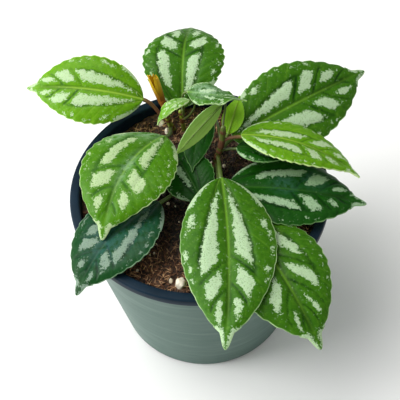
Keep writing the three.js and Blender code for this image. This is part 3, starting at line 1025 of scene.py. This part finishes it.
def pot_profile():
    """The pot's section from the middle of its underside, up the outside and down the inside."""
    base, lip, undercut = BASE_ROUNDING, LIP_ROUNDING, LIP_UNDERCUT
    under_lip = POT_HEIGHT - LIP_HEIGHT
    top = POT_HEIGHT - lip
    mouth = POT_RIM_RADIUS - LIP_WIDTH
    return [
        (0, 0), (FLOOR_RING, 0), (POT_BASE_RADIUS - base, 0),
        *rounded(outer_radius(base) - base, base, base, -70, 0),
        *[(outer_radius(z), z) for z in np.linspace(base + 0.8, under_lip - 1.4, 40)],
        (outer_radius(under_lip) + 0.25, under_lip - 0.5),
        (outer_radius(under_lip) + undercut, under_lip),
        *rounded(POT_RIM_RADIUS - undercut, under_lip + undercut, undercut, -90, 0),
        *rounded(POT_RIM_RADIUS - lip, top, lip, 0, 90),
        *rounded(mouth + lip, top, lip, 90, 180),
        (mouth, under_lip),
        *[(inner_radius(z), z) for z in np.linspace(under_lip - 4, POT_FLOOR + 1, 12)],
        (inner_radius(POT_FLOOR) - 1, POT_FLOOR), (FLOOR_RING, POT_FLOOR), (0, POT_FLOOR),
    ]


def base_cutters():
    """The drain holes and the gaps between the feet, as one mesh that is cut out of the pot."""
    work = bmesh.new()
    for hole in range(DRAIN_HOLES):
        angle = hole * 2 * math.pi / DRAIN_HOLES
        made = bmesh.ops.create_cone(work, cap_ends=True, segments=32, depth=8 * MM,
                                     radius1=DRAIN_RADIUS * MM, radius2=DRAIN_RADIUS * MM)
        move = Vector((DRAIN_RING * math.cos(angle), DRAIN_RING * math.sin(angle), 1)) * MM
        bmesh.ops.translate(work, vec=move, verts=made["verts"])
    depth, width, height = FOOT_GAP
    for foot in range(FEET):
        angle = (foot + 0.5) * 2 * math.pi / FEET - math.pi / 2
        made = bmesh.ops.create_cube(work, size=1)
        for vertex in made["verts"]:
            x, y, z = vertex.co
            x, y = POT_BASE_RADIUS + x * 2 * depth, y * width
            vertex.co = Vector((x * math.cos(angle) - y * math.sin(angle),
                                x * math.sin(angle) + y * math.cos(angle), z * 2 * height)) * MM
    mesh = bpy.data.meshes.new("base_cutters")
    work.to_mesh(mesh)
    work.free()
    return add_object("base_cutters", mesh)


def make_pot(wall_skin, rim_skin):
    """The tapered pot: sage outside, with a dark rolled lip and dark inside."""
    rings = pot_profile()[1:-1]
    points = [(0, 0, 0)]
    for radius, z in rings:
        points += circle(radius, z, POT_SEGMENTS)
    points.append((0, 0, POT_FLOOR))
    faces = fan(0, 1, POT_SEGMENTS)
    faces += grid_faces(len(rings), POT_SEGMENTS, closed=True, first=1)
    faces += fan(len(points) - 1, len(points) - 1 - POT_SEGMENTS, POT_SEGMENTS)
    piece = make_piece("nursery_pot", points, faces, [wall_skin, rim_skin], sharp=40)
    tool = base_cutters()
    cut = piece.modifiers.new("base cuts", "BOOLEAN")
    cut.operation = "DIFFERENCE"
    cut.solver = "EXACT"
    cut.object = tool
    plain_mesh(piece)
    bpy.data.objects.remove(tool)
    for face in piece.data.polygons:
        x, y, z = face.center / MM
        outside = math.hypot(x, y) > (outer_radius(z) + inner_radius(z)) / 2 or z < POT_FLOOR / 2
        face.material_index = 0 if z < POT_HEIGHT - LIP_HEIGHT + 0.1 and outside else 1
    piece.data.set_sharp_from_angle(angle=math.radians(40))
    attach(piece, "root")
    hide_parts("pot")


# ---------------------------------------------------------------- soil

def soil_height(x, y):
    """The height of the soil: a low mound with a few broad lumps."""
    edge = math.hypot(x, y) / inner_radius(SOIL_LEVEL)
    lumps = (math.sin(x * 0.55 + 2 * math.sin(y * 0.21))
             + math.sin(y * 0.62 + 2 * math.sin(x * 0.17)))
    return SOIL_LEVEL + SOIL_MOUND * (1 - edge * edge) + SOIL_LUMP * 0.5 * lumps


def rough_soil(x, y):
    """The soil's surface with its crumbs, cracks and hollows."""
    place = Vector((x, y, 3.7))
    lumps = noise.fractal(place * 0.28, 0.9, 2.1, 4)
    crumbs = noise.fractal(place * 0.9, 0.7, 2.2, 3)
    return soil_height(x, y) + 0.9 * lumps + 0.45 * crumbs - 0.3


def make_soil(skin):
    """The whole root ball of potting mix. Returns the points and faces of its crumbly top."""
    rings, segments = SOIL_GRID
    top_radius = inner_radius(SOIL_LEVEL) - SOIL_GAP
    top_points = [(0, 0, rough_soil(0, 0))]
    for ring in range(1, rings + 1):
        around = circle(top_radius * ring / rings, 0, segments)
        top_points += [(x, y, rough_soil(x, y)) for x, y, _ in around]
    top = fan(0, 1, segments) + grid_faces(rings, segments, closed=True, first=1)
    points = list(top_points)
    lower = (*SOIL_SIDES, POT_FLOOR + SOIL_GAP)
    for z in lower:
        points += circle(inner_radius(z) - SOIL_GAP, z, segments)
    edge = len(top_points) - segments
    sides = grid_faces(1 + len(lower), segments, closed=True, first=edge)
    bottom = fan(len(points), len(points) - segments, segments)
    points.append((0, 0, lower[-1]))
    piece = make_piece("potting_soil_ball", points, top + sides + bottom, [skin])
    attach(piece, "root")
    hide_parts("soil")
    return top_points, top


def group_with_inputs(name, inputs):
    """A geometry node group with its inputs: the group, its tree, their wires and identifiers."""
    group = bpy.data.node_groups.new(name, "GeometryNodeTree")
    kinds = {float: "NodeSocketFloat", int: "NodeSocketInt"}
    group.interface.new_socket(name="Geometry", in_out="INPUT", socket_type="NodeSocketGeometry")
    names = {}
    for label, value in inputs.items():
        kind = kinds.get(type(value), "NodeSocketMaterial")
        entry = group.interface.new_socket(name=label, in_out="INPUT", socket_type=kind)
        names[label] = entry.identifier
    group.interface.new_socket(name="Geometry", in_out="OUTPUT", socket_type="NodeSocketGeometry")
    tree = Tree(group.nodes, group.links)
    start = group.nodes.new("NodeGroupInput")
    wires = {entry.name: Socket(tree, entry) for entry in start.outputs if entry.name}
    return group, tree, wires, names


def end_group(group, tree, instances, material):
    """Turns the instances into plain meshes, gives them their material and ends the tree."""
    realized = tree.node("GeometryNodeRealizeInstances", {}, {"Geometry": instances})
    painted = tree.node("GeometryNodeSetMaterial", {}, {
        "Geometry": realized, "Material": material})
    end = group.nodes.new("NodeGroupOutput")
    tree.links.new(painted.output, end.inputs["Geometry"])


def scatter(tree, wires, shape, tilt, low, high):
    """Instances of a shape on random points of the surface, spun, tilted and sized at random."""
    spread = tree.node("GeometryNodeDistributePointsOnFaces", {}, {
        "Mesh": wires["Geometry"], "Density": wires["Density"], "Seed": wires["Seed"]})
    vector = {"data_type": "FLOAT_VECTOR"}
    turn = tree.node("FunctionNodeRandomValue", vector, {
        "Min": (-tilt, -tilt, 0), "Max": (tilt, tilt, 2 * math.pi), "Seed": wires["Seed"]})
    size = tree.node("FunctionNodeRandomValue", vector, {
        "Min": low, "Max": high, "Seed": wires["Seed"] + SIZE_SEED})
    return tree.node("GeometryNodeInstanceOnPoints", {}, {
        "Points": spread, "Instance": shape, "Rotation": turn, "Scale": size})


def fibre_group(inputs):
    """Thin curved fibres that lie about on a surface."""
    group, tree, wires, names = group_with_inputs("coir fibres", inputs)
    bow = tree.node("GeometryNodeCurvePrimitiveBezierSegment", {}, {
        "Resolution": 5, "Start": (-0.5, 0, 0), "Start Handle": (-0.2, 0.14, 0.08),
        "End Handle": (0.25, -0.1, 0.1), "End": (0.5, 0.06, -0.02)})
    length = tree.node("ShaderNodeCombineXYZ", {}, {
        "X": wires["Length"], "Y": wires["Length"], "Z": wires["Length"]})
    sized = tree.node("GeometryNodeTransform", {}, {"Geometry": bow, "Scale": length})
    section = tree.node("GeometryNodeCurvePrimitiveCircle", {}, {
        "Resolution": 3, "Radius": wires["Thickness"]})
    strand = tree.node("GeometryNodeCurveToMesh", {}, {
        "Curve": sized, "Profile Curve": section, "Fill Caps": True})
    placed = scatter(tree, wires, strand, 0.35, (0.4, 0.5, 0.5), (1.3, 1.3, 1.3))
    end_group(group, tree, placed, wires["Material"])
    return group, names


def crumb_group(inputs):
    """Rough little lumps that lie about on a surface."""
    group, tree, wires, names = group_with_inputs("crumbs", inputs)
    ball = tree.node("GeometryNodeMeshIcoSphere", {}, {
        "Radius": wires["Size"], "Subdivisions": wires["Smoothness"]})
    shape = tree.node("ShaderNodeTexNoise", {}, {"Scale": wires["Roughness"], "Detail": 2})
    away = tree.node("ShaderNodeVectorMath", {"operation": "SUBTRACT"}, {
        0: shape.part("Color"), 1: (0.5, 0.5, 0.5)})
    pushed = tree.node("ShaderNodeVectorMath", {"operation": "SCALE"}, {
        0: away, "Scale": wires["Size"] * 1.6})
    lump = tree.node("GeometryNodeSetPosition", {}, {"Geometry": ball, "Offset": pushed})
    placed = scatter(tree, wires, lump, 1.5, (0.3, 0.3, 0.3), (1.2, 1.2, 0.9))
    end_group(group, tree, placed, wires["Material"])
    return group, names


def litter(name, surface, margin, build, values):
    """Loose bits, grown by a node group on the soil's surface, but for a margin at the wall."""
    top_points, top_faces = surface
    reach = inner_radius(SOIL_LEVEL) - margin
    near = [math.hypot(x, y) < reach for x, y, _ in top_points]
    top_faces = [face for face in top_faces if all(near[index] for index in face)]
    mesh = bpy.data.meshes.new(name)
    mesh.from_pydata((np.asarray(top_points) * MM).tolist(), [], top_faces)
    piece = add_object(name, mesh)
    group, names = build(values)
    grown = piece.modifiers.new(name, "NODES")
    grown.node_group = group
    for label, value in values.items():
        grown[names[label]] = value
    plain_mesh(piece)
    piece.data.shade_smooth()
    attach(piece, "root")


def make_perlite(skin):
    """The grains of perlite: the larger ones in their places, and small ones strewn about."""
    rng = np.random.default_rng(PERLITE_SEED)
    spots = list(PERLITE_SPOTS)
    while len(spots) < PERLITE_GRAINS:
        angle, reach = rng.uniform(0, 2 * math.pi), PERLITE_REACH * math.sqrt(rng.uniform())
        spots.append((reach * math.cos(angle), reach * math.sin(angle), rng.uniform(0.3, 0.9)))
    work = bmesh.new()
    for number, (x, y, radius) in enumerate(spots):
        fine = 3 if radius > 0.9 else 2
        made = bmesh.ops.create_icosphere(work, subdivisions=fine, radius=1)
        stretch = rng.uniform(0.7, 1.25, 3)
        seat = rough_soil(x, y) + radius * 0.35
        for vertex in made["verts"]:
            rough = 1 + 0.28 * noise.noise(vertex.co * 1.7 + Vector((number, 0, 0)))
            shape = Vector(np.array(vertex.co) * stretch * radius * rough)
            vertex.co = (shape + Vector((x, y, seat))) * MM
    mesh = bpy.data.meshes.new("perlite_grains")
    work.to_mesh(mesh)
    work.free()
    mesh.materials.append(skin)
    mesh.shade_smooth()
    piece = add_object("perlite_grains", mesh)
    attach(piece, "root")


# ---------------------------------------------------------------- stage

def make_camera():
    """Looks down on the pot from the front, turned a little round its own line of sight."""
    data = bpy.data.cameras.new("camera")
    data.sensor_width = 36
    data.lens = CAMERA_LENS
    data.clip_start = 0.01
    camera = add_object("camera", data)
    elevation = math.radians(CAMERA_ELEVATION)
    away = Vector((0, -math.cos(elevation), math.sin(elevation))) * CAMERA_DISTANCE
    camera.location = (away + Vector((0, 0, CAMERA_AIM))) * MM
    tilt = Matrix.Rotation(math.pi / 2 - elevation, 3, "X")
    roll = Matrix.Rotation(math.radians(CAMERA_ROLL), 3, "Z")
    camera.rotation_euler = (tilt @ roll).to_euler()
    bpy.context.scene.camera = camera


def softbox(name, place, size, power, colour=(1, 1, 1)):
    """A round area light that faces the plant."""
    data = bpy.data.lights.new(name, "AREA")
    data.shape = "DISK"
    data.size = size
    data.energy = power
    data.color = colour
    light = add_object(name, data)
    light.location = place
    aim = Vector((0, 0, LIGHT_AIM)) - Vector(place)
    light.rotation_euler = aim.to_track_quat("-Z", "Y").to_euler()


def make_stage():
    """A plain pale floor and soft studio light, brightest from above and the left."""
    material, tree, shader, place = new_material("pale_floor")
    cloud = tree.noise(place, 6, 2)
    finish_shader(tree, shader, {
        "Base Color": tree.mix(tone(246, 246, 246), tone(250, 250, 250), cloud),
        "Roughness": 0.9,
    })
    square = ((-1, -1), (1, -1), (1, 1), (-1, 1))
    corners = [(x * FLOOR_REACH, y * FLOOR_REACH, 0) for x, y in square]
    mesh = bpy.data.meshes.new("floor")
    mesh.from_pydata(corners, [], [(0, 1, 2, 3)])
    mesh.materials.append(material)
    floor = add_object("floor", mesh)
    world = bpy.data.worlds.new("studio")
    world.use_nodes = True
    background = world.node_tree.nodes["Background"].inputs
    background["Color"].default_value = (0.97, 0.98, 0.98, 1)
    background["Strength"].default_value = 0.45
    bpy.context.scene.world = world
    softbox("key", (-0.5, 0.15, 1.0), 1.0, 10, (1, 0.99, 0.96))
    softbox("left", (-1.1, -0.1, 0.45), 0.7, 11)
    bpy.context.scene.view_settings.view_transform = "Standard"


# ---------------------------------------------------------------- assembly

make_camera()
make_stage()

skins = {f"{name}_top": blade_top_skin(name) for name in LEAF_TONES}
skins |= {name: blade_under_skin(name) for name in UNDER_TONES}
skins |= {name: stalk_skin(name) for name in STALK_TONES}
for number, (name, leaf) in enumerate(LEAVES.items()):
    make_leaf(name, leaf, skins, number)
make_bud(bud_skin())
for name, stem in STEMS.items():
    make_stem(name, stem, skins["old_stem" if name == "stem_right" else "young_stem"])

sage = pot_plastic("sage_plastic", tone(84, 109, 100), tone(64, 91, 83), tone(112, 134, 124),
                   roughness=0.42, sheen=0.14)
navy = pot_plastic("navy_plastic", tone(12, 28, 40), tone(26, 46, 62), tone(50, 66, 80),
                   roughness=0.4, sheen=0.08)
make_pot(sage, navy)

surface = make_soil(soil_earth())
fibre_skin = litter_stuff("coir_fibre", tone(216, 172, 126), tone(112, 70, 42), 0.7, 0.8)
litter("coir_fibres", surface, 2.6, fibre_group, {
    "Density": 340000.0, "Length": 4.2 * MM, "Thickness": 0.2 * MM, "Seed": 5,
    "Material": fibre_skin})
crumb_skin = litter_stuff("soil_crumb", tone(122, 82, 54), tone(30, 18, 11), 0.85, 0.7)
litter("soil_crumbs", surface, 1.2, crumb_group, {
    "Density": 380000.0, "Size": 0.9 * MM, "Smoothness": 1, "Roughness": 900.0, "Seed": 11,
    "Material": crumb_skin})
make_perlite(litter_stuff("perlite", tone(236, 228, 208), tone(205, 190, 160), 0.8, 0.1))
